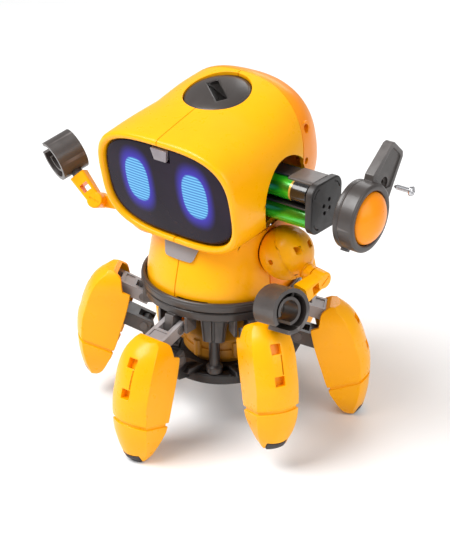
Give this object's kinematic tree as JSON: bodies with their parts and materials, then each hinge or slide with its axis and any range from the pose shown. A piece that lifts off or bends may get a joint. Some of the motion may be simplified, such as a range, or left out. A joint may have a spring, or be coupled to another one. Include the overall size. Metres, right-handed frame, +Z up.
{
  "type": "hexapod toy robot",
  "caption": "Walking toy robot: ring of clawed legs on a hub, turning torso, big tilted visor head, battery drawer and ear cover drawn out, gripping arms.",
  "frame": {"origin": "middle of the whole object's box in X and Y, at the soles of the three standing feet", "axes": "+Z up, the robot faces -Y, its own left hand is +X"},
  "size_m": [0.2038, 0.1544, 0.1802],
  "materials": {
    "yellow_plastic": "glossy moulded plastic",
    "orange_plastic": "glossy moulded plastic",
    "dark_plastic": "satin moulded plastic",
    "grey_plastic": "satin moulded plastic",
    "visor_plastic": "polished dark tinted plastic",
    "eye_display": "lit blue display",
    "rubber": "soft matt",
    "battery_green": "shrink sleeve",
    "steel": "plated"
  },
  "bodies": {
    "base": {"leg_frame": "dark_plastic", "gearbox_housing": "orange_plastic", "lower_plate": "dark_plastic", "front_post": "dark_plastic", "rear_post": "dark_plastic"},
    "leg_1_link": {"leg_1_upper_link": "grey_plastic"},
    "leg_1_claw": {"leg_1_shell": "yellow_plastic", "leg_1_foot": "rubber"},
    "leg_1_arm": {"leg_1_lower_arm": "dark_plastic"},
    "leg_2_link": {"leg_2_upper_link": "grey_plastic"},
    "leg_2_claw": {"leg_2_shell": "yellow_plastic", "leg_2_foot": "rubber"},
    "leg_2_arm": {"leg_2_lower_arm": "dark_plastic"},
    "leg_3_link": {"leg_3_upper_link": "grey_plastic"},
    "leg_3_claw": {"leg_3_shell": "yellow_plastic", "leg_3_foot": "rubber"},
    "leg_3_arm": {"leg_3_lower_arm": "dark_plastic"},
    "leg_4_link": {"leg_4_upper_link": "grey_plastic"},
    "leg_4_claw": {"leg_4_shell": "yellow_plastic", "leg_4_foot": "rubber"},
    "leg_4_arm": {"leg_4_lower_arm": "dark_plastic"},
    "leg_5_link": {"leg_5_upper_link": "grey_plastic"},
    "leg_5_claw": {"leg_5_shell": "yellow_plastic", "leg_5_foot": "rubber"},
    "leg_5_arm": {"leg_5_lower_arm": "dark_plastic"},
    "leg_6_link": {"leg_6_upper_link": "grey_plastic"},
    "leg_6_claw": {"leg_6_shell": "yellow_plastic", "leg_6_foot": "rubber"},
    "leg_6_arm": {"leg_6_lower_arm": "dark_plastic"},
    "torso": {"turntable_ring": "dark_plastic", "torso_front_left": "yellow_plastic", "torso_front_right": "yellow_plastic", "torso_rear": "yellow_plastic", "chest_plate": "grey_plastic", "head_shell_left": "yellow_plastic", "head_shell_right": "yellow_plastic", "head_back_cover": "yellow_plastic", "visor": "visor_plastic", "brow_sensor_window": "grey_plastic", "eye_display": "eye_display", "crown_cap": "dark_plastic", "right_ear_drum": "dark_plastic", "right_ear_dome": "yellow_plastic"},
    "mode_switch": {"mode_switch_knob": "visor_plastic"},
    "battery_cassette": {"battery_tray": "dark_plastic", "battery_1": "battery_green", "battery_2": "battery_green", "battery_3": "battery_green", "battery_4": "battery_green"},
    "battery_cover": {"battery_cover_drum": "dark_plastic", "battery_cover_dome": "yellow_plastic"},
    "cover_screw": {"battery_cover_screw": "steel"},
    "left_upper": {"left_shoulder": "yellow_plastic", "left_upper_arm": "yellow_plastic"},
    "left_fore": {"left_forearm": "yellow_plastic"},
    "left_grip": {"left_hand": "dark_plastic"},
    "right_upper": {"right_shoulder": "yellow_plastic", "right_upper_arm": "yellow_plastic"},
    "right_fore": {"right_forearm": "yellow_plastic"},
    "right_grip": {"right_hand": "dark_plastic"}
  },
  "joints": [
    {"name": "leg_1_lift", "type": "hinge", "parent": "base", "child": "leg_1_link", "pos_m": [0.00209, -0.03943, 0.062], "axis": [-1, 0, 0], "range_deg": [0, 38]},
    {"name": "leg_1_claw_pin", "type": "hinge", "parent": "leg_1_link", "child": "leg_1_claw", "pos_m": [0.00209, -0.05884, 0.05716], "axis": [-1, 0, 0], "range_deg": [-38, 0]},
    {"name": "leg_1_arm_pin", "type": "hinge", "parent": "base", "child": "leg_1_arm", "pos_m": [0.00209, -0.03943, 0.045], "axis": [-1, 0, 0], "range_deg": [0, 38]},
    {"name": "leg_2_lift", "type": "hinge", "parent": "base", "child": "leg_2_link", "pos_m": [0.03673, -0.01943, 0.062], "axis": [-0.5, -0.866, 0], "range_deg": [-38, 0]},
    {"name": "leg_2_claw_pin", "type": "hinge", "parent": "leg_2_link", "child": "leg_2_claw", "pos_m": [0.05256, -0.02857, 0.07014], "axis": [-0.5, -0.866, 0], "range_deg": [0, 38]},
    {"name": "leg_2_arm_pin", "type": "hinge", "parent": "base", "child": "leg_2_arm", "pos_m": [0.03673, -0.01943, 0.045], "axis": [-0.5, -0.866, 0], "range_deg": [-38, 0]},
    {"name": "leg_3_lift", "type": "hinge", "parent": "base", "child": "leg_3_link", "pos_m": [0.03673, 0.02057, 0.062], "axis": [0.5, -0.866, 0], "range_deg": [0, 38]},
    {"name": "leg_3_claw_pin", "type": "hinge", "parent": "leg_3_link", "child": "leg_3_claw", "pos_m": [0.05354, 0.03027, 0.05716], "axis": [0.5, -0.866, 0], "range_deg": [-38, 0]},
    {"name": "leg_3_arm_pin", "type": "hinge", "parent": "base", "child": "leg_3_arm", "pos_m": [0.03673, 0.02057, 0.045], "axis": [0.5, -0.866, 0], "range_deg": [0, 38]},
    {"name": "leg_4_lift", "type": "hinge", "parent": "base", "child": "leg_4_link", "pos_m": [0.00209, 0.04057, 0.062], "axis": [1, 0, 0], "range_deg": [-38, 0]},
    {"name": "leg_4_claw_pin", "type": "hinge", "parent": "leg_4_link", "child": "leg_4_claw", "pos_m": [0.00209, 0.05884, 0.07014], "axis": [1, 0, 0], "range_deg": [0, 38]},
    {"name": "leg_4_arm_pin", "type": "hinge", "parent": "base", "child": "leg_4_arm", "pos_m": [0.00209, 0.04057, 0.045], "axis": [1, 0, 0], "range_deg": [-38, 0]},
    {"name": "leg_5_lift", "type": "hinge", "parent": "base", "child": "leg_5_link", "pos_m": [-0.03255, 0.02057, 0.062], "axis": [0.5, 0.866, 0], "range_deg": [0, 38]},
    {"name": "leg_5_claw_pin", "type": "hinge", "parent": "leg_5_link", "child": "leg_5_claw", "pos_m": [-0.04935, 0.03027, 0.05716], "axis": [0.5, 0.866, 0], "range_deg": [-38, 0]},
    {"name": "leg_5_arm_pin", "type": "hinge", "parent": "base", "child": "leg_5_arm", "pos_m": [-0.03255, 0.02057, 0.045], "axis": [0.5, 0.866, 0], "range_deg": [0, 38]},
    {"name": "leg_6_lift", "type": "hinge", "parent": "base", "child": "leg_6_link", "pos_m": [-0.03255, -0.01943, 0.062], "axis": [-0.5, 0.866, 0], "range_deg": [-38, 0]},
    {"name": "leg_6_claw_pin", "type": "hinge", "parent": "leg_6_link", "child": "leg_6_claw", "pos_m": [-0.04837, -0.02857, 0.07014], "axis": [-0.5, 0.866, 0], "range_deg": [0, 38]},
    {"name": "leg_6_arm_pin", "type": "hinge", "parent": "base", "child": "leg_6_arm", "pos_m": [-0.03255, -0.01943, 0.045], "axis": [-0.5, 0.866, 0], "range_deg": [-38, 0]},
    {"name": "torso_turn", "type": "hinge", "parent": "base", "child": "torso", "pos_m": [0.00209, 0.00057, 0.075], "axis": [0, 0, 1], "continuous": true},
    {"name": "mode_switch_slide", "type": "slide", "parent": "torso", "child": "mode_switch", "axis": [0.788, -0.6022, -0.128], "range_m": [0, 0.0064]},
    {"name": "battery_cassette_slide", "type": "slide", "parent": "torso", "child": "battery_cassette", "axis": [1, 0, 0], "range_m": [-0.0225, 0]},
    {"name": "battery_cover_slide", "type": "slide", "parent": "torso", "child": "battery_cover", "axis": [1, 0, 0], "range_m": [-0.036, 0]},
    {"name": "cover_screw_slide", "type": "slide", "parent": "torso", "child": "cover_screw", "axis": [1, 0, 0], "range_m": [-0.051, 0]},
    {"name": "left_shoulder_turn", "type": "hinge", "parent": "torso", "child": "left_upper", "pos_m": [0.04459, -0.00293, 0.1016], "axis": [1, 0, 0], "range_deg": [-40, 0]},
    {"name": "left_elbow", "type": "hinge", "parent": "left_upper", "child": "left_fore", "pos_m": [0.06309, -0.00393, 0.0952], "axis": [0.9863, -0.1587, -0.0452], "range_deg": [-20, 0]},
    {"name": "left_wrist", "type": "hinge", "parent": "left_fore", "child": "left_grip", "pos_m": [0.06344, -0.01712, 0.09145], "axis": [-0.165, -0.9486, -0.27], "range_deg": [-20, 20]},
    {"name": "right_shoulder_turn", "type": "hinge", "parent": "torso", "child": "right_upper", "pos_m": [-0.04041, -0.00293, 0.1016], "axis": [1, 0, 0], "range_deg": [-30, 60]},
    {"name": "right_elbow", "type": "hinge", "parent": "right_upper", "child": "right_fore", "pos_m": [-0.06791, -0.01443, 0.1025], "axis": [0.3272, -0.8501, 0.4127], "range_deg": [-20, 35]},
    {"name": "right_wrist", "type": "hinge", "parent": "right_fore", "child": "right_grip", "pos_m": [-0.07918, -0.01609, 0.11432], "axis": [-0.7479, 0.034, 0.6629], "range_deg": [-45, 45]}
  ],
  "couplings": [
    {"joint": "leg_1_claw_pin", "follows": "leg_1_lift", "ratio": -1},
    {"joint": "leg_1_arm_pin", "follows": "leg_1_lift", "ratio": 1},
    {"joint": "leg_2_lift", "follows": "leg_1_lift", "ratio": -1},
    {"joint": "leg_2_claw_pin", "follows": "leg_1_lift", "ratio": 1},
    {"joint": "leg_2_arm_pin", "follows": "leg_1_lift", "ratio": -1},
    {"joint": "leg_3_lift", "follows": "leg_1_lift", "ratio": 1},
    {"joint": "leg_3_claw_pin", "follows": "leg_1_lift", "ratio": -1},
    {"joint": "leg_3_arm_pin", "follows": "leg_1_lift", "ratio": 1},
    {"joint": "leg_4_lift", "follows": "leg_1_lift", "ratio": -1},
    {"joint": "leg_4_claw_pin", "follows": "leg_1_lift", "ratio": 1},
    {"joint": "leg_4_arm_pin", "follows": "leg_1_lift", "ratio": -1},
    {"joint": "leg_5_lift", "follows": "leg_1_lift", "ratio": 1},
    {"joint": "leg_5_claw_pin", "follows": "leg_1_lift", "ratio": -1},
    {"joint": "leg_5_arm_pin", "follows": "leg_1_lift", "ratio": 1},
    {"joint": "leg_6_lift", "follows": "leg_1_lift", "ratio": -1},
    {"joint": "leg_6_claw_pin", "follows": "leg_1_lift", "ratio": 1},
    {"joint": "leg_6_arm_pin", "follows": "leg_1_lift", "ratio": -1},
    {"joint": "battery_cover_slide", "follows": "battery_cassette_slide", "ratio": 1.6},
    {"joint": "cover_screw_slide", "follows": "battery_cassette_slide", "ratio": 2.2666}
  ]
}
